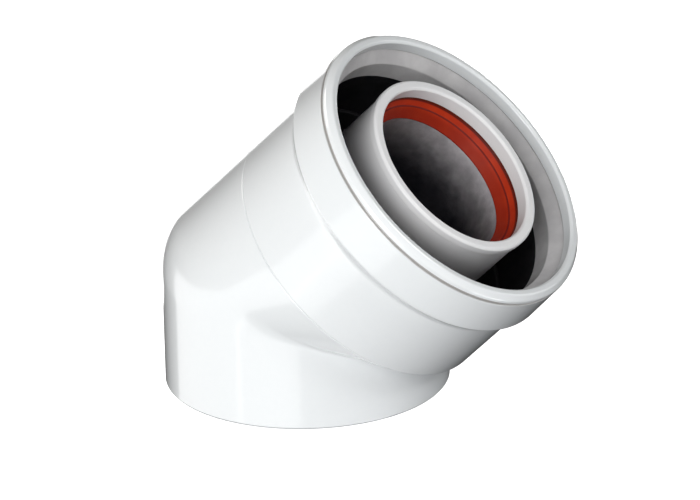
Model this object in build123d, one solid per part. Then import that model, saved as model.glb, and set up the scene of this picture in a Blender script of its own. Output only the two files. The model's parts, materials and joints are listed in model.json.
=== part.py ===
from build123d import *
import os
from math import cos, radians, sin, tan

os.makedirs("parts", exist_ok=True)

# A 45 degree elbow of two ducts, one inside the other: a 60 mm flue duct in a 100 mm air duct.
# Millimetres. Origin: centre of the air duct's spigot end. +Z: up the spigot. The elbow leans to +X.

# Driving dimensions
BEND = 45.0  # turn from the spigot axis to the socket axis, degrees
CROSSING = 28.5  # height of the point where the two axes meet
AIR_SPIGOT_R = 50.0  # 100 mm male end of the air duct
AIR_SPIGOT_LENGTH = 17.0  # the length that goes into a socket, and is drawn to size
SIZING = 0.05  # the leg above it is this much larger in radius
SIZING_TAPER = 1.5  # length of the cone between the two
AIR_BODY_R = 52.6  # slanted part of the air duct
AIR_WALL = 1.5
AIR_CORNER_R = 24.0  # rounding of the outside corner of the bend
CREASE_HEIGHT = 41.3  # where the plane of the crease cuts the spigot axis
SEAM = 33.0  # distances along the socket axis start at the crossing
SEAM_GAP = 0.25  # hairline between the bend and the sleeve
MOUTH = 85.0  # front of the sockets
FLUE_R = 30.0  # 60 mm male end of the flue duct
FLUE_WALL = 1.3
FLUE_BEND_R = 36.0  # centre line radius of the flue bend
FLUE_RECESS = 0.5  # the flue spigot ends this far inside the air spigot
FLUE_END = 71.8  # upper end of the flue bend, just behind the seal in its socket
LEAD_IN = 0.7  # chamfer on both spigot ends
LAP = 12.0  # length of the neck inside the sleeve
FLUE_LAP = 26.3  # length of the flue bend inside its socket
FIT = 0.05  # gap between pieces that are pressed together

# Worked out from the driving dimensions
HALF_BEND = BEND / 2
SOCKET_DIRECTION = (sin(radians(BEND)), 0, cos(radians(BEND)))
CREASE_NORMAL = (sin(radians(HALF_BEND)), 0, cos(radians(HALF_BEND)))
FLUE_TANGENT = FLUE_BEND_R * tan(radians(HALF_BEND))  # from the crossing to either end of the bend
NECK_R = AIR_BODY_R - AIR_WALL - FIT
NECK_BORE_R = NECK_R - AIR_WALL
REACH = 400.0  # longer than the elbow, for cutting tools

SOCKET_FRAME = Plane(
    origin=(0, 0, CROSSING),
    x_dir=(cos(radians(BEND)), 0, -sin(radians(BEND))),
    z_dir=SOCKET_DIRECTION,
)


def crease_plane(height):
    """Plane that halves the bend and cuts the spigot axis at this height."""
    across = (cos(radians(HALF_BEND)), 0, -sin(radians(HALF_BEND)))
    return Plane(origin=(0, 0, height), x_dir=across, z_dir=CREASE_NORMAL)


def rod(radius, low, high):
    """Upright cylinder between two heights."""
    ends = (Align.CENTER, Align.CENTER, Align.MIN)
    return Pos(0, 0, low) * Cylinder(radius, high - low, align=ends)


def turned(profile, rounds=()):
    """Ring turned about Z from (radius, height) corners; rounds lists (corner number, radius)."""
    face = make_face(Polyline(*profile, close=True)).face()
    for number, radius in rounds:
        corner = face.vertices().sort_by_distance((*profile[number], 0))[0]
        face = face.fillet_2d(radius, [corner])
    return revolve(Plane.XZ * face, Axis.Z)


# Air duct


def spigot_with_cap(leg_r, body_r, corner_r, low, top):
    """Upright spigot whose outside top is cut by the slanted body's surface and rounded."""
    ends = (Align.MAX, Align.CENTER, Align.CENTER)
    outside = Box(REACH, REACH, REACH, align=ends) - Cylinder(body_r, REACH)
    above_top = Pos(0, 0, top) * Box(REACH, REACH, REACH, align=(Align.CENTER, Align.CENTER, Align.MIN))
    leg = rod(leg_r, low, REACH / 2) - SOCKET_FRAME * outside - SOCKET_FRAME * above_top
    plain = (GeomType.CIRCLE, GeomType.LINE, GeomType.ELLIPSE)
    corner = [edge for edge in leg.edges() if edge.geom_type not in plain]
    return fillet(corner, corner_r)


def flare(leg_r, crease_height, ring_r, ring_at, side):
    """Skirt from the crease on the spigot out to the round end of the bend."""
    crease = crease_plane(crease_height) * Ellipse(leg_r / cos(radians(HALF_BEND)), leg_r)
    ring = SOCKET_FRAME * Pos(0, 0, ring_at) * Circle(ring_r)
    skirt = loft([crease.face(), ring.face()], ruled=True)
    keep = Pos(-side, 0, 0) * Box(REACH, REACH, REACH, align=(Align.MIN, Align.CENTER, Align.CENTER))
    return skirt & (SOCKET_FRAME * keep)


def outer_bend():
    """Air duct bend: spigot, rounded outside corner, flared crease and the neck inside the sleeve."""
    skirt_side = 20.0  # the skirt runs into the body this far past the socket axis
    inner_side = 8.0  # the same for the hollow of the skirt
    inner_rise = 2.0  # the crease inside the wall lies higher than the one outside
    inner_end = SEAM + 1.5
    thick_ring = 2.0  # the wall is thicker for this length behind the seam, to carry the neck
    leg_r = AIR_SPIGOT_R + SIZING
    leg_start = AIR_SPIGOT_LENGTH + SIZING_TAPER
    body = spigot_with_cap(leg_r, AIR_BODY_R, AIR_CORNER_R, leg_start, SEAM)
    body += rod(AIR_SPIGOT_R, 0, AIR_SPIGOT_LENGTH)
    taper = Cone(AIR_SPIGOT_R, leg_r, SIZING_TAPER, align=(Align.CENTER, Align.CENTER, Align.MIN))
    body += Pos(0, 0, AIR_SPIGOT_LENGTH) * taper
    body += flare(leg_r, CREASE_HEIGHT, AIR_BODY_R, SEAM, skirt_side)
    body += SOCKET_FRAME * rod(NECK_R, SEAM, SEAM + LAP)
    end_edge = body.edges().filter_by(GeomType.CIRCLE).sort_by(Axis.Z)[0]
    body = chamfer(end_edge, LEAD_IN)
    spigot_bore_r = AIR_SPIGOT_R - AIR_WALL
    body_bore_r = AIR_BODY_R - AIR_WALL
    bore = spigot_with_cap(spigot_bore_r, body_bore_r, AIR_CORNER_R - AIR_WALL, -1, SEAM - thick_ring)
    bore += flare(spigot_bore_r, CREASE_HEIGHT + inner_rise, NECK_BORE_R, inner_end, inner_side)
    outer_half = Box(REACH, REACH, REACH, align=(Align.MAX, Align.CENTER, Align.CENTER))
    bore += SOCKET_FRAME * (rod(NECK_BORE_R, SEAM - 2 * thick_ring, inner_end) & outer_half)
    bore += SOCKET_FRAME * rod(NECK_BORE_R, inner_end, SEAM + LAP + 1)
    return body - bore


def outer_socket():
    """Air duct sleeve: tube, shoulder, socket with a seal groove, and the bead at its mouth."""
    tube_r = AIR_BODY_R + 0.1
    tube_bore_r = AIR_BODY_R - AIR_WALL
    start = SEAM + SEAM_GAP
    profile = [
        (tube_bore_r, start),
        (tube_r, start),
        (tube_r, 62.6),
        (55.8, 66.0),
        (55.3, 80.7),
        (54.6, 81.1),
        (54.6, 81.5),
        (55.3, 81.9),
        (55.1, 83.2),
        (53.4, MOUTH),
        (51.6, MOUTH),
        (50.8, 84.2),
        (50.8, 80.6),
        (54.2, 80.6),
        (54.2, 67.4),
        (tube_bore_r, 64.0),
    ]
    return SOCKET_FRAME * turned(profile, [(2, 3.0), (3, 1.2), (8, 1.0), (9, 1.2), (10, 0.5), (11, 0.5)])


def outer_socket_seal():
    """Lip seal in the air socket's groove, with a sloping front and a long inner lip."""
    profile = [
        (54.1, 68.4),
        (54.1, 80.5),
        (50.9, 80.4),
        (47.7, 76.2),
        (47.5, 69.0),
        (48.7, 69.0),
        (49.2, 75.2),
        (51.4, 77.8),
        (52.3, 77.8),
        (52.3, 68.4),
    ]
    return SOCKET_FRAME * turned(profile, [(3, 0.8), (2, 0.5), (6, 0.6)])


# Flue duct


def flue_rod(radius, low, high):
    """Solid of the flue duct's path: upright run, bend and slanted run."""
    start = CROSSING - FLUE_TANGENT
    centre = Axis((FLUE_BEND_R, 0, start), (0, 1, 0))
    curve = revolve(Pos(0, 0, start) * Circle(radius), centre, BEND)
    return rod(radius, low, start) + curve + SOCKET_FRAME * rod(radius, FLUE_TANGENT, high)


def inner_bend():
    """Flue duct bend with its plain male end."""
    bore = flue_rod(FLUE_R - FLUE_WALL, FLUE_RECESS - 1, FLUE_END + 1)
    body = flue_rod(FLUE_R, FLUE_RECESS, FLUE_END)
    end_edge = body.edges().filter_by(GeomType.CIRCLE).sort_by(Axis.Z)[0]
    return chamfer(end_edge, LEAD_IN) - bore


def inner_socket():
    """Thick flue socket with a collar at its rim and a groove for its seal."""
    lap_bore_r = FLUE_R + FIT
    lap_start = FLUE_END - FLUE_LAP
    profile = [
        (lap_bore_r, lap_start),
        (31.8, lap_start),
        (31.8, lap_start + 3),
        (34.5, lap_start + 8),
        (34.5, 81.6),
        (35.1, 82.0),
        (35.1, 84.2),
        (34.3, MOUTH),
        (31.9, MOUTH),
        (31.2, 84.2),
        (31.2, 79.8),
        (33.5, 79.8),
        (33.5, 71.4),
        (lap_bore_r, 70.6),
    ]
    return SOCKET_FRAME * turned(profile, [(2, 2.0), (3, 3.0), (6, 0.5), (7, 0.5), (8, 0.5), (9, 0.5)])


def inner_socket_seal():
    """Lip seal in the flue socket's groove: a sloping body, a fine step and a thin lip."""
    profile = [
        (33.4, 71.9),
        (33.4, 79.6),
        (31.6, 79.4),
        (30.1, 76.9),
        (29.6, 76.7),
        (27.4, 72.7),
        (27.7, 72.1),
        (30.2, 75.2),
        (31.6, 75.4),
        (31.9, 71.9),
    ]
    return SOCKET_FRAME * turned(profile, [(2, 0.4), (5, 0.25), (7, 0.5)])


# Spring spacers that hold the flue duct in the middle of the air duct

BAND_WIDTH = 8.0
BAND_THICKNESS = 0.5
BAND_R = FLUE_R + FIT
LEG_THICKNESS = 0.5
LEG_WIDTH = 10.0
LEG_RISE = 7.0  # length along the duct in which a leg crosses the air gap
LEG_PAD = 5.0
LEG_TIP = 3.0
LEG_ANGLES = (90.0, 210.0, 330.0)
FOOT_R = BAND_R + BAND_THICKNESS + FIT  # underside of a leg's foot
RIVET_R = 1.6
RIVET_HEAD_R = 2.7
RIVET_HEAD = 1.1  # height of the domed head
DRILL_DEPTH = 6.0


def rivet_hole(angle, foot):
    """Tool for one rivet hole, square to the duct, through band and leg."""
    across = Rot(0, 0, angle) * Pos(FLUE_R, 0, foot + BAND_WIDTH / 2) * Rot(0, 90, 0)
    return across * Cylinder(RIVET_R + FIT, DRILL_DEPTH)


def spacer_band(foot):
    """Strip round the flue duct that carries the three legs."""
    band = rod(BAND_R + BAND_THICKNESS, foot, foot + BAND_WIDTH) - rod(BAND_R, foot, foot + BAND_WIDTH)
    for angle in LEG_ANGLES:
        band -= rivet_hole(angle, foot)
    return band


def spacer_leg(angle, foot, wall_r):
    """Spring leg: foot on the band, rise, pad on the air duct's wall and a turned-in tip."""
    sag = wall_r - (wall_r**2 - (LEG_WIDTH / 2) ** 2) ** 0.5  # the wall curves away from the flat pad
    low = FOOT_R + LEG_THICKNESS / 2
    high = wall_r - sag - FIT - LEG_THICKNESS / 2
    heel = foot + BAND_WIDTH
    pad = heel + LEG_RISE
    tip = pad + LEG_PAD
    path = Polyline((low, foot), (low, heel), (high, pad), (high, tip), (high - LEG_TIP, tip + LEG_TIP))
    leg = extrude(Plane.XZ * trace(path, LEG_THICKNESS), LEG_WIDTH / 2, both=True)
    return Rot(0, 0, angle) * leg - rivet_hole(angle, foot)


def spacer_rivets(foot):
    """One domed rivet for each leg, placed along the socket axis."""
    head_start = FOOT_R + LEG_THICKNESS
    edge = (RIVET_HEAD_R, RIVET_HEAD / 2)
    crown = (RIVET_HEAD_R / 2, RIVET_HEAD)
    head = turned([(0, 0), (RIVET_HEAD_R, 0), edge, crown, (0, RIVET_HEAD)], [(2, 0.3)])
    rivet = rod(RIVET_R, BAND_R, head_start) + Pos(0, 0, head_start) * head
    outwards = Pos(0, 0, foot + BAND_WIDTH / 2) * Rot(0, 90, 0)
    around = [SOCKET_FRAME * Rot(0, 0, angle) * outwards for angle in LEG_ANGLES]
    return Compound([(place * rivet).solid() for place in around])


def write_spacer(name, foot, wall_r):
    """Band, legs and rivets of one spacer, whose band starts this far along the socket axis."""
    export_step(SOCKET_FRAME * spacer_band(foot), f"parts/{name}_band.step")
    for number, angle in enumerate(LEG_ANGLES, start=1):
        export_step(SOCKET_FRAME * spacer_leg(angle, foot, wall_r), f"parts/{name}_leg_{number}.step")
    export_step(spacer_rivets(foot), f"parts/{name}_rivets.step")


REAR_FOOT = 22.0  # start of the rear spacer's band, along the socket axis
FRONT_FOOT = 35.5

export_step(outer_bend(), "parts/outer_bend.step")
export_step(outer_socket(), "parts/outer_socket.step")
export_step(outer_socket_seal(), "parts/outer_socket_seal.step")
export_step(inner_bend(), "parts/inner_bend.step")
export_step(inner_socket(), "parts/inner_socket.step")
export_step(inner_socket_seal(), "parts/inner_socket_seal.step")
write_spacer("rear_spacer", REAR_FOOT, NECK_BORE_R)
write_spacer("front_spacer", FRONT_FOOT, AIR_BODY_R - AIR_WALL)
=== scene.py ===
import json
from math import atan2, cos, pi, radians, sin, sqrt, tan

import bmesh
import bpy
from mathutils import Matrix, Vector

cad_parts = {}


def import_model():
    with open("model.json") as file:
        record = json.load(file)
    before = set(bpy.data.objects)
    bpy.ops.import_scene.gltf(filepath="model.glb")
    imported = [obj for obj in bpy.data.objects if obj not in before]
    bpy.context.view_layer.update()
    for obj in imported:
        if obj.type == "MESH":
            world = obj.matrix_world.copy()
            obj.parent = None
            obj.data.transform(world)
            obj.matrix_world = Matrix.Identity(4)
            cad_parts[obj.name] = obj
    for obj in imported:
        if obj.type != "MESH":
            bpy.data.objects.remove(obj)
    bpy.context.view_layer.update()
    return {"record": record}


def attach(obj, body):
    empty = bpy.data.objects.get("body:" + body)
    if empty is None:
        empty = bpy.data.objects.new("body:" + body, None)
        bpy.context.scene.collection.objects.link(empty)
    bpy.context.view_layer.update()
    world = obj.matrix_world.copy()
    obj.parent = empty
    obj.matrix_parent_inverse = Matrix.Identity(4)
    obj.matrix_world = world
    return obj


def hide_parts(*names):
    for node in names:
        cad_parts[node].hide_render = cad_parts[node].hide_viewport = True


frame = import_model()

# Lengths here are millimetres, and become metres when a mesh or a lamp is made.
MM = 0.001
ROUND_STEPS = 256  # faces round a full turn
BEND = radians(45)

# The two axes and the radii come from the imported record
MOUNTS = {mount["name"]: mount for mount in frame["record"]["mounts"]}
ALONG = Vector(MOUNTS["outer_socket"]["axis"]).normalized()
ACROSS = Vector((ALONG.z, 0, -ALONG.x))  # from the socket axis towards the throat of the bend
SIDE = Vector((0, 1, 0))
SOCKET_END = Vector(MOUNTS["outer_socket"]["pos_m"]) / MM
MOUTH = SOCKET_END.x / ALONG.x
CROSSING = SOCKET_END - MOUTH * ALONG
SPIGOT_R = MOUNTS["outer_spigot"]["dims"]["r_mm"]
FLUE_R = MOUNTS["inner_spigot"]["dims"]["r_mm"]

# Ducts
WALL = 1.5
BODY_R = 52.6
SEAM = 33.0
SEAM_GAP = 0.08
LAP = 12.0
FLUE_WALL = 1.3
FLUE_BEND_R = 36.0
FLUE_START = 0.5
FLUE_END = 71.8
FLUE_LAP = 26.3
FIT = 0.05  # play between pieces that slide together
CREASE_HEIGHT = 41.3  # on the spigot's outside, above its axis
INNER_CREASE_HEIGHT = 43.3
CREASE_FOLD = 1.2  # rounding of the crease on the throat side
CORNER_FOLD = 24.0  # rounding of the corner on the far side


# ---------------------------------------------------------------- shapes


def blend_step(low, high, value):
    """0 below low, 1 above high, and a smooth change between."""
    share = min(1.0, max(0.0, (value - low) / (high - low)))
    return share * share * (3 - 2 * share)


def soft_min(a, b, width):
    """The smaller of two values, with a rounded change-over this wide."""
    share = max(width - abs(a - b), 0.0) / width
    return min(a, b) - share * share * width / 4


def rounded(corners, lines):
    """Closed line through corners, each (point, radius, arc steps), with lines points between arcs.

    Returns the points, and for each point the number of the corner that it belongs to.
    """
    arcs = []
    for number, (corner, radius, steps) in enumerate(corners):
        before = (corners[number - 1][0] - corner).normalized()
        after = (corners[(number + 1) % len(corners)][0] - corner).normalized()
        half = before.angle(after) / 2
        reach = radius / tan(half)
        first, last = corner + before * reach, corner + after * reach
        arc = []
        for step in range(steps + 1):
            t = step / steps
            a, b, c = (1 - t) ** 2, 2 * t * (1 - t) * sin(half), t * t
            arc.append((first * a + corner * b + last * c) / (a + b + c))
        arcs.append(arc)
    points, owners = [], []
    for number, arc in enumerate(arcs):
        target = arcs[(number + 1) % len(arcs)][0]
        points += arc
        points += [arc[-1].lerp(target, (k + 1) / (lines + 1)) for k in range(lines)]
        owners += [number] * (len(arc) + lines)
    return points, owners


def mesh_piece(name, vertices, faces, materials, indices=None):
    """Smooth mesh in metres that rides with the elbow."""
    mesh = bpy.data.meshes.new(name)
    mesh.from_pydata([tuple(v * MM) for v in vertices], [], faces)
    for material in materials:
        mesh.materials.append(material)
    if indices:
        mesh.polygons.foreach_set("material_index", indices)
    work = bmesh.new()
    work.from_mesh(mesh)
    bmesh.ops.recalc_face_normals(work, faces=work.faces)
    work.to_mesh(mesh)
    work.free()
    mesh.shade_smooth()
    piece = bpy.data.objects.new(name, mesh)
    bpy.context.scene.collection.objects.link(piece)
    normals = piece.modifiers.new("Normals", "WEIGHTED_NORMAL")
    normals.keep_sharp = True
    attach(piece, "root")
    return piece


def grid_faces(rows, columns):
    """Quads of a grid that closes on itself both ways."""
    faces = []
    for row in range(rows):
        here, there = row * columns, (row + 1) % rows * columns
        for column in range(columns):
            following = (column + 1) % columns
            faces.append((here + column, there + column, there + following, here + following))
    return faces


def ring_piece(name, section, place, materials, inside=(), lines=3):
    """Piece turned from a section. place(radius, distance, angle) gives a point in space.

    section lists (radius, distance, rounding) corners. The sides that follow the corners numbered
    in inside get the second material.
    """
    corners = [(Vector((radius, distance, 0)), rounding, 5) for radius, distance, rounding in section]
    outline, owners = rounded(corners, lines)
    vertices = []
    for step in range(ROUND_STEPS):
        angle = 2 * pi * step / ROUND_STEPS
        vertices += [place(point.x, point.y, angle) for point in outline]
    faces = grid_faces(ROUND_STEPS, len(outline))
    indices = [1 if owner in inside else 0 for owner in owners] * ROUND_STEPS
    return mesh_piece(name, vertices, faces, materials, indices)


def on_socket(radius, distance, angle):
    """Point given by radius, distance past the crossing and angle from the throat side."""
    outwards = ACROSS * cos(angle) + SIDE * sin(angle)
    return CROSSING + ALONG * distance + outwards * radius


FLUE_TANGENT = FLUE_BEND_R * tan(BEND / 2)
FLUE_STRAIGHT = CROSSING.z - FLUE_TANGENT  # length of the upright run, up to the bend
FLUE_ARC = FLUE_BEND_R * BEND


def on_flue(radius, distance, angle):
    """Point given by radius, distance along the flue's own centre line and angle."""
    past = distance - FLUE_STRAIGHT
    turn = min(max(past, 0.0) / FLUE_BEND_R, BEND)
    rise = FLUE_BEND_R * sin(turn) + min(past, 0.0)
    sideways = FLUE_BEND_R * (1 - cos(turn))
    centre = Vector((sideways, 0, FLUE_STRAIGHT + rise))
    heading = Vector((sin(turn), 0, cos(turn)))
    centre += heading * max(past - FLUE_ARC, 0.0)
    across = Vector((heading.z, 0, -heading.x))
    return centre + (across * cos(angle) + SIDE * sin(angle)) * radius


def flue_distance(socket_distance):
    """Distance along the flue's centre line of a place this far past the crossing."""
    return FLUE_STRAIGHT + FLUE_ARC + socket_distance - FLUE_TANGENT


# ---------------------------------------------------------------- air duct bend


def corner_height(angle, leg_r, body_r, crease_height):
    """Height on the spigot's surface where it turns into the slanted part."""
    x = leg_r * cos(angle)
    crease = crease_height - x * tan(BEND / 2)
    offset = sqrt(body_r**2 - (leg_r * sin(angle)) ** 2)
    meeting = CROSSING.z + x + offset / sin(BEND)
    if x > 0:
        return crease
    return soft_min(crease, meeting, 6.0)


def slanted_angle(angle, leg_r, body_r):
    """Angle round the socket axis at which the line from the spigot's surface reaches the seam."""
    outer = atan2(leg_r * sin(angle), -sqrt(body_r**2 - (leg_r * sin(angle)) ** 2))
    return angle + (outer - angle) * blend_step(radians(75), radians(135), angle)


def bend_section(angle):
    """Closed section of the air duct bend at one angle, as rounded corners in space."""
    mirrored = angle > pi
    angle = 2 * pi - angle if mirrored else angle
    outwards = Vector((cos(angle), sin(angle), 0))
    far = slanted_angle(angle, SPIGOT_R, BODY_R)
    bore_r, neck_r = SPIGOT_R - WALL, BODY_R - WALL - FIT
    smooth = blend_step(radians(40), radians(125), angle)
    fold = CREASE_FOLD + (CORNER_FOLD - CREASE_FOLD) * smooth**2
    outside = corner_height(angle, SPIGOT_R, BODY_R, CREASE_HEIGHT)
    hollow = corner_height(angle, bore_r, BODY_R - WALL, INNER_CREASE_HEIGHT)
    up = Vector((0, 0, 1))
    corners = [
        (outwards * bore_r, 0.3, 3),
        (outwards * (SPIGOT_R - 0.7), 0.4, 3),
        (outwards * SPIGOT_R + up * 0.7, 0.6, 4),
        (outwards * SPIGOT_R + up * outside, fold, 16),
        (on_socket(BODY_R, SEAM, far), 0.45, 4),
        (on_socket(neck_r, SEAM, far), 0.2, 3),
        (on_socket(neck_r, SEAM + LAP, far), 0.4, 3),
        (on_socket(neck_r - WALL, SEAM + LAP, far), 0.4, 3),
        (on_socket(neck_r - WALL, SEAM + WALL, far), 3.0, 4),
        (outwards * bore_r + up * hollow, max(fold - WALL, 1.0), 12),
    ]
    if mirrored:
        corners = [(Vector((p.x, -p.y, p.z)), radius, steps) for p, radius, steps in corners]
    return corners


def outer_bend(materials):
    """Air duct bend with its rounded outside corner and its creased throat."""
    vertices, indices = [], []
    inside = (6, 7, 8, 9)
    for step in range(ROUND_STEPS):
        points, owners = rounded(bend_section(2 * pi * step / ROUND_STEPS), 7)
        vertices += points
        indices += [1 if owner in inside else 0 for owner in owners]
    faces = grid_faces(ROUND_STEPS, len(vertices) // ROUND_STEPS)
    piece = mesh_piece("air_duct_bend", vertices, faces, materials, indices)
    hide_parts("outer_bend")


# ---------------------------------------------------------------- sockets and seals


def outer_socket(materials):
    """Air duct sleeve with shoulder, seal groove and the bead at its mouth."""
    bore_r, tube_r = BODY_R - WALL, BODY_R + 0.1
    section = [
        (bore_r, SEAM + SEAM_GAP, 0.3),
        (tube_r, SEAM + SEAM_GAP, 0.35),
        (tube_r, 62.6, 4.0),
        (55.8, 66.0, 1.3),
        (55.3, 80.7, 0.3),
        (54.6, 81.1, 0.2),
        (54.6, 81.5, 0.2),
        (55.3, 81.9, 0.35),
        (55.1, 83.2, 1.2),
        (53.4, MOUTH, 1.2),
        (51.6, MOUTH, 0.5),
        (50.8, 84.2, 0.5),
        (50.8, 80.6, 0.15),
        (54.2, 80.6, 0.3),
        (54.2, 67.4, 0.5),
        (bore_r, 64.0, 1.0),
    ]
    piece = ring_piece("air_duct_sleeve", section, on_socket, materials, inside=(14, 15))
    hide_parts("outer_socket")


def outer_socket_seal(materials):
    """Grey lip seal of the air socket."""
    section = [
        (54.1, 68.4, 0.3),
        (54.1, 80.5, 0.3),
        (50.9, 80.4, 0.5),
        (47.7, 76.2, 0.9),
        (47.5, 69.0, 0.3),
        (48.7, 69.0, 0.3),
        (49.2, 75.2, 0.8),
        (51.4, 77.8, 0.5),
        (52.3, 77.8, 0.4),
        (52.3, 68.4, 0.3),
    ]
    piece = ring_piece("air_seal", section, on_socket, materials)
    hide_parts("outer_socket_seal")


def inner_socket(materials):
    """White flue socket with a collar at its rim."""
    lap_r, lap_start = FLUE_R + FIT, FLUE_END - FLUE_LAP
    section = [
        (lap_r, lap_start, 0.3),
        (31.8, lap_start, 0.4),
        (31.8, lap_start + 3, 2.0),
        (34.5, lap_start + 8, 3.0),
        (34.5, 81.6, 0.4),
        (35.1, 82.0, 0.25),
        (35.1, 84.2, 0.7),
        (34.3, MOUTH, 0.6),
        (31.9, MOUTH, 0.6),
        (31.2, 84.2, 0.5),
        (31.2, 79.8, 0.15),
        (33.5, 79.8, 0.3),
        (33.5, 71.4, 0.3),
        (lap_r, 70.6, 0.3),
    ]
    piece = ring_piece("flue_socket", section, on_socket, materials)
    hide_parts("inner_socket")


def inner_socket_seal(materials):
    """Red-orange lip seal of the flue socket."""
    section = [
        (33.4, 71.9, 0.3),
        (33.4, 79.6, 0.3),
        (31.6, 79.4, 0.4),
        (30.1, 76.9, 0.3),
        (29.6, 76.7, 0.3),
        (27.4, 72.7, 0.25),
        (27.7, 72.1, 0.15),
        (30.2, 75.2, 0.5),
        (31.6, 75.4, 0.3),
        (31.9, 71.9, 0.3),
    ]
    piece = ring_piece("flue_seal", section, on_socket, materials)
    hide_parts("inner_socket_seal")


# ---------------------------------------------------------------- flue duct bend


def inner_bend(materials):
    """Flue duct bend, bare metal outside; inside, darkened further in by painted shade."""
    bore_r = FLUE_R - FLUE_WALL
    end = flue_distance(FLUE_END)
    section = [
        (bore_r, FLUE_START, 0.3),
        (FLUE_R - 0.7, FLUE_START, 0.3),
        (FLUE_R, FLUE_START + 0.7, 0.4),
        (FLUE_R, end, 0.3),
        (bore_r, end, 0.3),
    ]
    piece = ring_piece("flue_bend", section, on_flue, materials, inside=(4,), lines=40)
    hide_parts("inner_bend")


# ---------------------------------------------------------------- spring spacers

BAND_R = FLUE_R + FIT
BAND_THICKNESS = 0.5
BAND_WIDTH = 8.0
LEG_ANGLES = [radians(90), radians(210), radians(330)]
LEG_WIDTH = 10.0
LEG_THICKNESS = 0.5
FOOT_R = BAND_R + BAND_THICKNESS + FIT
SPACERS = [("rear", 22.0, BODY_R - 2 * WALL - FIT), ("front", 35.5, BODY_R - WALL)]  # name, start, wall
RIVET_R = 1.6
RIVET_HEAD_R = 2.7
RIVET_SHANK = 1.05
RIVET_STEPS = 40
DRILL_SPAN = (-1.5, 1.0)  # how far the drill reaches inwards and outwards of the rivet's seat


def rivet_place(foot, angle):
    """Seat of a rivet head on the leg, the direction outwards, and directions all round it."""
    outwards = ACROSS * cos(angle) + SIDE * sin(angle)
    sideways = outwards.cross(ALONG)
    turns = [2 * pi * step / RIVET_STEPS for step in range(RIVET_STEPS)]
    arms = [ALONG * cos(turn) + sideways * sin(turn) for turn in turns]
    return on_socket(FOOT_R + LEG_THICKNESS, foot + BAND_WIDTH / 2, angle), outwards, arms


def drill(piece, foot, angles):
    """Cuts a rivet hole at each angle right through a thin strip."""
    work = bmesh.new()
    for angle in angles:
        seat, outwards, arms = rivet_place(foot, angle)
        rings = []
        for height in DRILL_SPAN:
            points = [(seat + arm * (RIVET_R + FIT) + outwards * height) * MM for arm in arms]
            rings.append([work.verts.new(point) for point in points])
            work.faces.new(rings[-1])
        low, high = rings
        for step in range(RIVET_STEPS):
            after = (step + 1) % RIVET_STEPS
            work.faces.new((low[step], low[after], high[after], high[step]))
    bmesh.ops.recalc_face_normals(work, faces=work.faces)
    mesh = bpy.data.meshes.new("drill")
    work.to_mesh(mesh)
    work.free()
    tool = bpy.data.objects.new("drill", mesh)
    bpy.context.scene.collection.objects.link(tool)
    holes = piece.modifiers.new("Holes", "BOOLEAN")
    holes.operation = "DIFFERENCE"
    holes.solver = "EXACT"
    holes.object = tool
    graph = bpy.context.evaluated_depsgraph_get()
    drilled = bpy.data.meshes.new_from_object(piece.evaluated_get(graph))
    piece.modifiers.clear()
    piece.data = drilled
    bpy.data.objects.remove(tool)
    normals = piece.modifiers.new("Normals", "WEIGHTED_NORMAL")
    normals.keep_sharp = True


def spacer_band(side, foot, materials):
    """Strip round the flue duct."""
    outer_r = BAND_R + BAND_THICKNESS
    section = [
        (BAND_R, foot, 0.12),
        (outer_r, foot, 0.12),
        (outer_r, foot + BAND_WIDTH, 0.12),
        (BAND_R, foot + BAND_WIDTH, 0.12),
    ]
    piece = ring_piece(f"{side}_band", section, on_socket, materials, lines=1)
    drill(piece, foot, LEG_ANGLES)
    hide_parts(f"{side}_spacer_band")


def leg_path(foot, wall_r):
    """Middle line of a spring leg as (radius, distance) points, its bends rounded."""
    sag = wall_r - sqrt(wall_r**2 - (LEG_WIDTH / 2) ** 2)
    low = FOOT_R + LEG_THICKNESS / 2
    high = wall_r - sag - FIT - LEG_THICKNESS / 2
    heel = foot + BAND_WIDTH
    stops = [(low, foot), (low, heel), (high, heel + 7), (high, heel + 12), (high - 3, heel + 15)]
    stops = [Vector((r, s, 0)) for r, s in stops]
    path = [stops[0]]
    for before, corner, after in zip(stops, stops[1:], stops[2:]):
        into, out = (before - corner).normalized(), (after - corner).normalized()
        for step in range(7):
            t = step / 6
            a, b, c = (1 - t) ** 2, 2 * t * (1 - t), t * t
            path.append(a * (corner + into) + b * corner + c * (corner + out))
    return path + [stops[-1]]


def spacer_leg(side, number, foot, wall_r, materials):
    """Bent spring strip with rounded corners."""
    path = leg_path(foot, wall_r)
    columns = 9
    ends = 2.0
    lengths = [0.0]
    for a, b in zip(path, path[1:]):
        lengths.append(lengths[-1] + (b - a).length)
    angle = LEG_ANGLES[number - 1]
    sideways = SIDE * cos(angle) - ACROSS * sin(angle)
    vertices = []
    for point, length in zip(path, lengths):
        from_end = min(length, lengths[-1] - length, ends)
        half_width = LEG_WIDTH / 2 - ends + sqrt(max(ends**2 - (ends - from_end) ** 2, 0.0))
        middle = on_socket(point.x, point.y, angle)
        for column in range(columns):
            share = 2 * column / (columns - 1) - 1
            vertices.append(middle + sideways * half_width * share)
    faces = []
    for row in range(len(path) - 1):
        for column in range(columns - 1):
            here = row * columns + column
            faces.append((here, here + 1, here + columns + 1, here + columns))
    piece = mesh_piece(f"{side}_leg_{number}", vertices, faces, materials)
    thick = piece.modifiers.new("Thickness", "SOLIDIFY")
    thick.thickness = LEG_THICKNESS * MM
    thick.offset = 0
    edge = piece.modifiers.new("Edges", "BEVEL")
    edge.width = 0.1 * MM
    edge.segments = 2
    edge.limit_method = "ANGLE"
    drill(piece, foot, [angle])
    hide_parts(f"{side}_spacer_leg_{number}")


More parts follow.
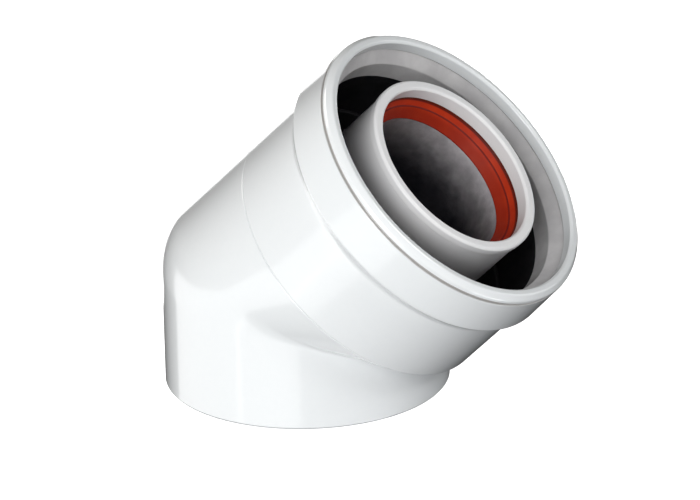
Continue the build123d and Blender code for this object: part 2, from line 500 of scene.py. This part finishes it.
def spacer_rivets(side, foot, materials):
    """Domed rivets that hold the legs on the band, as one mesh."""
    under = 0.02  # the head stops this far above the leg
    shank = [(RIVET_R, -RIVET_SHANK), (RIVET_R, under)]
    dome = [(RIVET_HEAD_R, under), (RIVET_HEAD_R, 0.45), (2.4, 0.75), (1.5, 1.0), (0.5, 1.09)]
    section = shank + dome
    count = len(section)
    vertices, faces = [], []
    for angle in LEG_ANGLES:
        seat, outwards, arms = rivet_place(foot, angle)
        start = len(vertices)
        for arm in arms:
            vertices += [seat + arm * radius + outwards * height for radius, height in section]
        for step in range(RIVET_STEPS):
            here, there = start + step * count, start + (step + 1) % RIVET_STEPS * count
            for column in range(count - 1):
                faces.append((here + column, there + column, there + column + 1, here + column + 1))
        faces.append([start + step * count for step in range(RIVET_STEPS)])
        faces.append([start + step * count + count - 1 for step in range(RIVET_STEPS)])
    piece = mesh_piece(f"{side}_rivets", vertices, faces, materials)
    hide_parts(f"{side}_spacer_rivets")


# ---------------------------------------------------------------- materials


class Nodes:
    """Short way to build one node material."""

    def __init__(self, name):
        self.material = bpy.data.materials.new(name)
        self.material.use_nodes = True
        self.tree = self.material.node_tree
        self.shader = self.tree.nodes["Principled BSDF"]
        self.place = self.add("ShaderNodeTexCoord").outputs["Object"]

    def add(self, kind, **settings):
        node = self.tree.nodes.new(kind)
        for key, value in settings.items():
            setattr(node, key, value)
        return node

    def put(self, socket, value):
        if isinstance(value, bpy.types.NodeSocket):
            self.tree.links.new(value, socket)
        else:
            socket.default_value = value

    def set(self, **values):
        for name, value in values.items():
            self.put(self.shader.inputs[name.replace("_", " ")], value)

    def noise(self, size, detail, roughness, stretch=(1, 1, 1)):
        """Noise whose features are about this many millimetres wide."""
        mapping = self.add("ShaderNodeMapping")
        self.put(mapping.inputs["Vector"], self.place)
        mapping.inputs["Scale"].default_value = stretch
        node = self.add("ShaderNodeTexNoise")
        self.put(node.inputs["Vector"], mapping.outputs["Vector"])
        node.inputs["Scale"].default_value = 1 / (size * MM)
        node.inputs["Detail"].default_value = detail
        node.inputs["Roughness"].default_value = roughness
        return node.outputs["Fac"]

    def spread(self, value, low, high, to_low=0.0, to_high=1.0):
        """Stretches a value from one range to another, held at both ends."""
        node = self.add("ShaderNodeMapRange")
        node.clamp = True
        for socket, number in zip(list(node.inputs)[:5], (value, low, high, to_low, to_high)):
            self.put(socket, number)
        return node.outputs["Result"]

    def maths(self, operation, first, second=0.0):
        node = self.add("ShaderNodeMath", operation=operation)
        self.put(node.inputs[0], first)
        self.put(node.inputs[1], second)
        return node.outputs[0]

    def vectors(self, operation, first, second=(0, 0, 0)):
        node = self.add("ShaderNodeVectorMath", operation=operation)
        self.put(node.inputs[0], first)
        self.put(node.inputs[1], second)
        return node.outputs["Value" if operation in ("DOT_PRODUCT", "LENGTH") else "Vector"]

    def socket_place(self):
        """Distance past the crossing and radius round the socket axis, both in millimetres."""
        arm = self.vectors("SUBTRACT", self.place, tuple(CROSSING * MM))
        distance = self.vectors("DOT_PRODUCT", arm, tuple(ALONG))
        radius = self.vectors("LENGTH", self.vectors("CROSS_PRODUCT", arm, tuple(ALONG)))
        return self.maths("DIVIDE", distance, MM), self.maths("DIVIDE", radius, MM)

    def stripe(self, value, centre, half):
        """1 close to a value, falling to 0 this far from it."""
        away = self.maths("ABSOLUTE", self.maths("SUBTRACT", value, centre))
        return self.spread(away, half / 2, half, 1, 0)

    def mix(self, share, first, second):
        """Colour between two colours."""
        node = self.add("ShaderNodeMix", data_type="RGBA")
        self.put(node.inputs[0], share)
        for socket, colour in ((node.inputs[6], first), (node.inputs[7], second)):
            self.put(socket, colour if isinstance(colour, bpy.types.NodeSocket) else (*colour, 1))
        return node.outputs[2]

    def bump(self, height, depth, below=None):
        """Bump this many millimetres deep, on top of another one."""
        node = self.add("ShaderNodeBump")
        node.inputs["Distance"].default_value = depth * MM
        self.put(node.inputs["Height"], height)
        if below is not None:
            self.put(node.inputs["Normal"], below)
        return node.outputs["Normal"]


def white_enamel():
    """Gloss white powder coat, with painted shade in the mouth's groove and a faint grey line of painted
    shade along the seam.
    """
    m = Nodes("white_enamel")
    clouds = m.maths("ADD", m.noise(60, 1, 0.4), m.noise(2.4, 3, 0.6))
    colour = m.mix(m.spread(clouds, 0.7, 1.3), (0.864, 0.892, 0.902), (0.880, 0.906, 0.914))
    dust = m.spread(m.noise(1.1, 2, 0.7), 0.76, 0.82, 0, 0.22)
    colour = m.mix(dust, colour, (0.62, 0.6, 0.57))
    distance, radius = m.socket_place()
    # Painted shade: the groove behind the mouth's bead is darkened, where shade falls.
    groove = m.maths("MULTIPLY", m.stripe(distance, 81.3, 0.8), m.spread(radius, 54.0, 54.3, 0, 0.75))
    colour = m.mix(groove, colour, (0.30, 0.27, 0.25))
    # Painted shade: a faint grey line along the seam gap stands for the shade in it.
    seam = m.maths("MULTIPLY", m.stripe(distance, SEAM + 0.1, 0.5), m.spread(radius, 52.0, 52.2, 0, 0.15))
    colour = m.mix(seam, colour, (0.42, 0.44, 0.47))
    peel = m.bump(m.noise(1.6, 2, 0.4), 0.003)
    waves = m.bump(m.noise(30, 0, 0.3), 0.015, peel)
    m.set(Base_Color=colour, Roughness=0.28, Normal=waves, Coat_Weight=1.0, Coat_Roughness=0.09)
    return m.material


def dark_inside():
    """Near-black inside of the air duct; the dark colour paints the deep shade in the gap between the
    ducts.
    """
    m = Nodes("dark_inside")
    clouds = m.spread(m.noise(14, 4, 0.6), 0.35, 0.7)
    # Painted shade: the near-black colour stands for the shade deep inside the air duct.
    colour = m.mix(clouds, (0.012, 0.012, 0.014), (0.028, 0.027, 0.03))
    grain = m.bump(m.noise(0.7, 3, 0.6), 0.03)
    rough = m.spread(m.noise(6, 3, 0.5), 0.3, 0.7, 0.65, 0.8)
    m.set(Base_Color=colour, Roughness=rough, Normal=grain, Specular_IOR_Level=0.12)
    return m.material


def white_plastic():
    """Moulded white plastic with a faint mould grain, and painted shade on its outside, darker further
    into the gap.
    """
    m = Nodes("white_plastic")
    clouds = m.noise(24, 3, 0.5)
    colour = m.mix(m.spread(clouds, 0.35, 0.7), (0.88, 0.883, 0.89), (0.91, 0.91, 0.912))
    specks = m.spread(m.noise(0.9, 2, 0.6), 0.76, 0.82, 0, 0.3)
    colour = m.mix(specks, colour, (0.55, 0.53, 0.5))
    distance, radius = m.socket_place()
    # Painted shade: the socket's outside darkens further in, where the gap between the ducts lies in
    # shade.
    painted_gap_shade = m.maths("MULTIPLY", m.spread(distance, 66, 83, 0.9, 0), m.spread(radius, 34.0, 34.3))
    colour = m.mix(painted_gap_shade, colour, (0.30, 0.29, 0.30))
    grain = m.bump(m.noise(0.5, 2, 0.5), 0.012)
    rough = m.spread(m.noise(9, 3, 0.5), 0.3, 0.7, 0.3, 0.42)
    m.set(Base_Color=colour, Roughness=rough, Normal=grain)
    return m.material


def grey_rubber():
    """Light grey elastomer with a slight bloom."""
    m = Nodes("grey_rubber")
    bloom = m.spread(m.noise(9, 5, 0.6), 0.4, 0.7)
    colour = m.mix(bloom, (0.52, 0.51, 0.515), (0.62, 0.61, 0.61))
    grain = m.bump(m.noise(0.45, 3, 0.6), 0.02)
    rough = m.spread(m.noise(5, 3, 0.6), 0.3, 0.7, 0.42, 0.6)
    m.set(Base_Color=colour, Roughness=rough, Normal=grain)
    return m.material


def red_silicone():
    """Red-orange silicone rubber, darker at its lip, with painted shade in its fold and at its outer
    edge.
    """
    m = Nodes("red_silicone")
    bloom = m.spread(m.noise(7, 4, 0.6), 0.35, 0.7)
    colour = m.mix(bloom, (0.44, 0.027, 0.006), (0.52, 0.038, 0.008))
    _, radius = m.socket_place()
    colour = m.mix(m.spread(radius, 28.9, 29.9, 0.4, 0), colour, (0.16, 0.010, 0.006))
    # Painted shade in the seal's fold and at its outer edge, where it meets the socket.
    colour = m.mix(m.stripe(radius, 29.8, 0.35), colour, (0.14, 0.008, 0.005))
    colour = m.mix(m.spread(radius, 31.0, 31.2, 0, 0.8), colour, (0.05, 0.008, 0.005))
    grain = m.bump(m.noise(0.4, 3, 0.6), 0.015)
    rough = m.spread(m.noise(4, 3, 0.6), 0.3, 0.7, 0.5, 0.65)
    m.set(Base_Color=colour, Roughness=rough, Normal=grain, Specular_IOR_Level=0.2)
    return m.material


def raw_aluminium():
    """Bare drawn aluminium, dull and slightly streaked."""
    m = Nodes("raw_aluminium")
    clouds = m.spread(m.noise(10, 5, 0.62), 0.35, 0.68)
    streaks = m.spread(m.noise(1.2, 3, 0.6, stretch=(4, 4, 0.5)), 0.35, 0.65)
    colour = m.mix(clouds, (0.46, 0.46, 0.48), (0.62, 0.62, 0.63))
    colour = m.mix(m.spread(streaks, 0, 1, 0, 0.35), colour, (0.70, 0.70, 0.70))
    grain = m.bump(streaks, 0.01)
    rough = m.spread(clouds, 0, 1, 0.32, 0.5)
    m.set(Base_Color=colour, Metallic=1.0, Roughness=rough, Normal=grain)
    return m.material


def painted_shade_bore():
    """Inside of the flue duct, bare metal near its end and darkened further in by painted shade."""
    m = Nodes("painted_shade_bore")
    clouds = m.spread(m.noise(7, 5, 0.62), 0.35, 0.68)
    bare = m.mix(clouds, (0.66, 0.64, 0.67), (0.84, 0.82, 0.84))
    # Painted shade: the bore turns near black further in, where shade falls.
    deep_shade = m.mix(clouds, (0.028, 0.028, 0.038), (0.06, 0.058, 0.07))
    distance, _ = m.socket_place()
    shade_reach = m.maths("ADD", distance, m.spread(m.noise(5, 4, 0.6), 0.3, 0.7, -2, 2))
    depth = m.maths("POWER", m.spread(shade_reach, 50, 71.5), 1.7)
    grain = m.bump(m.noise(0.6, 3, 0.6), 0.03)
    rough = m.spread(clouds, 0, 1, 0.5, 0.68)
    m.set(Base_Color=m.mix(depth, deep_shade, bare), Metallic=0.2, Roughness=rough, Normal=grain)
    return m.material


def spring_steel():
    """Rolled spring steel with fine rolling lines."""
    m = Nodes("spring_steel")
    lines = m.spread(m.noise(0.5, 3, 0.6, stretch=(1, 6, 1)), 0.35, 0.65)
    colour = m.mix(lines, (0.36, 0.36, 0.37), (0.50, 0.50, 0.51))
    tint = m.spread(m.noise(8, 3, 0.5), 0.45, 0.7, 0, 0.3)
    colour = m.mix(tint, colour, (0.36, 0.32, 0.27))
    grain = m.bump(lines, 0.008)
    rough = m.spread(m.noise(3, 3, 0.5), 0.3, 0.7, 0.28, 0.42)
    m.set(Base_Color=colour, Metallic=1.0, Roughness=rough, Normal=grain)
    return m.material


def rivet_aluminium():
    """Bright aluminium rivet head with small dents."""
    m = Nodes("rivet_aluminium")
    dents = m.spread(m.noise(1.1, 3, 0.6), 0.4, 0.7)
    colour = m.mix(dents, (0.58, 0.58, 0.59), (0.72, 0.72, 0.73))
    grain = m.bump(dents, 0.03)
    rough = m.spread(m.noise(0.8, 2, 0.5), 0.3, 0.7, 0.25, 0.4)
    m.set(Base_Color=colour, Metallic=1.0, Roughness=rough, Normal=grain)
    return m.material


def pale_floor():
    """Plain white studio floor that glows, so that it is white whatever the light."""
    m = Nodes("pale_floor")
    clouds = m.noise(400, 2, 0.5)
    colour = m.mix(m.spread(clouds, 0.3, 0.7), (0.93, 0.93, 0.935), (0.95, 0.95, 0.95))
    m.set(Base_Color=colour, Roughness=0.9, Emission_Color=(1, 1, 1, 1), Emission_Strength=1.0)
    return m.material


# ---------------------------------------------------------------- build

# The dark inside material paints the shade inside the air duct.
enamel, shaded_inside = white_enamel(), dark_inside()
steel, rivet = spring_steel(), rivet_aluminium()

outer_bend([enamel, shaded_inside])
outer_socket([enamel, shaded_inside])
outer_socket_seal([grey_rubber()])
inner_bend([raw_aluminium(), painted_shade_bore()])
inner_socket([white_plastic()])
inner_socket_seal([red_silicone()])
for spacer, foot, wall_r in SPACERS:
    spacer_band(spacer, foot, [steel])
    for number in (1, 2, 3):
        spacer_leg(spacer, number, foot, wall_r, [steel])
    spacer_rivets(spacer, foot, [rivet])


# ---------------------------------------------------------------- stage, camera and light


def floor():
    """Plain floor under the spigot."""
    size = 6.0
    mesh = bpy.data.meshes.new("floor")
    corners = [(-size, -size, 0), (size, -size, 0), (size, size, 0), (-size, size, 0)]
    mesh.from_pydata(corners, [], [(0, 1, 2, 3)])
    mesh.materials.append(pale_floor())
    piece = bpy.data.objects.new("floor", mesh)
    bpy.context.scene.collection.objects.link(piece)
    # It neither lights the elbow nor shades it, so lights may also stand below it
    piece.visible_diffuse = False
    piece.visible_glossy = False
    piece.visible_shadow = False


AIM = Vector((18.0, 0, 50.05)) * MM
CAMERA_LENS = 329.2
CAMERA_DISTANCE = 2.226  # metres
VIEW_AZIMUTH, VIEW_ELEVATION, VIEW_ROLL = radians(28.38), radians(21.39), radians(-1.3)

LIGHT_DISTANCE = 1.0  # metres
WHITE, WARM, COOL = (1, 1, 1), (1, 0.95, 0.91), (0.97, 0.97, 1)
LIGHTS = [
    # name, azimuth and elevation in degrees, width and height in metres, power in watts, colour
    ("key", 14, 20, 0.5, 0.45, 5.6, WHITE),
    ("front", 0, 2, 0.5, 0.45, 2.8, WHITE),
    ("front_low", -4, -20, 0.87, 0.5, 1.6, WHITE),
    ("left_high", -90, 40, 0.5, 0.45, 3.6, WARM),
    ("left_low", -62, -20, 1.3, 0.5, 2.6, WHITE),
    ("right_high", 90, 40, 0.5, 0.45, 4.3, WHITE),
    ("right_low", 90, -45, 0.5, 0.45, 2.4, COOL),
    ("right_back", 128, 4, 0.5, 0.45, 0.9, WHITE),
    ("back", 180, 0, 0.35, 0.3, 3.8, WHITE),
    ("left_back", -145, -10, 0.5, 0.45, 1.2, WHITE),
]


def direction(azimuth, elevation):
    """Unit vector from the elbow; azimuth 0 looks along +Y and turns towards +X."""
    flat = cos(elevation)
    return Vector((sin(azimuth) * flat, -cos(azimuth) * flat, sin(elevation)))


def camera():
    """Long lens, a little above the elbow and to its right."""
    data = bpy.data.cameras.new("camera")
    data.sensor_width = 36
    data.lens = CAMERA_LENS
    data.clip_start, data.clip_end = 0.1, 30
    piece = bpy.data.objects.new("camera", data)
    bpy.context.scene.collection.objects.link(piece)
    back = direction(VIEW_AZIMUTH, VIEW_ELEVATION)
    level = Vector((cos(VIEW_AZIMUTH), sin(VIEW_AZIMUTH), 0))
    upright = back.cross(level)
    right = level * cos(VIEW_ROLL) + upright * sin(VIEW_ROLL)
    up = upright * cos(VIEW_ROLL) - level * sin(VIEW_ROLL)
    turn = Matrix((right, up, back)).transposed().to_4x4()
    piece.matrix_world = Matrix.Translation(AIM + back * CAMERA_DISTANCE) @ turn
    bpy.context.scene.camera = piece


def softbox(name, azimuth, elevation, width, height, power, colour):
    """Rectangular area light that faces the elbow from LIGHT_DISTANCE away."""
    data = bpy.data.lights.new(name, "AREA")
    data.shape = "RECTANGLE"
    data.size, data.size_y = width, height
    data.energy = power
    data.color = colour
    piece = bpy.data.objects.new(name, data)
    bpy.context.scene.collection.objects.link(piece)
    towards = direction(radians(azimuth), radians(elevation))
    piece.location = AIM + towards * LIGHT_DISTANCE
    piece.rotation_mode = "QUATERNION"
    piece.rotation_quaternion = towards.to_track_quat("Z", "Y")


def world():
    """Black surroundings, so that all the light comes from the softboxes."""
    surroundings = bpy.data.worlds.new("studio")
    surroundings.use_nodes = True
    background = surroundings.node_tree.nodes["Background"]
    background.inputs["Strength"].default_value = 0.0
    bpy.context.scene.world = surroundings


floor()
camera()
world()
for light in LIGHTS:
    softbox(*light)
bpy.context.scene.view_settings.view_transform = "Standard"
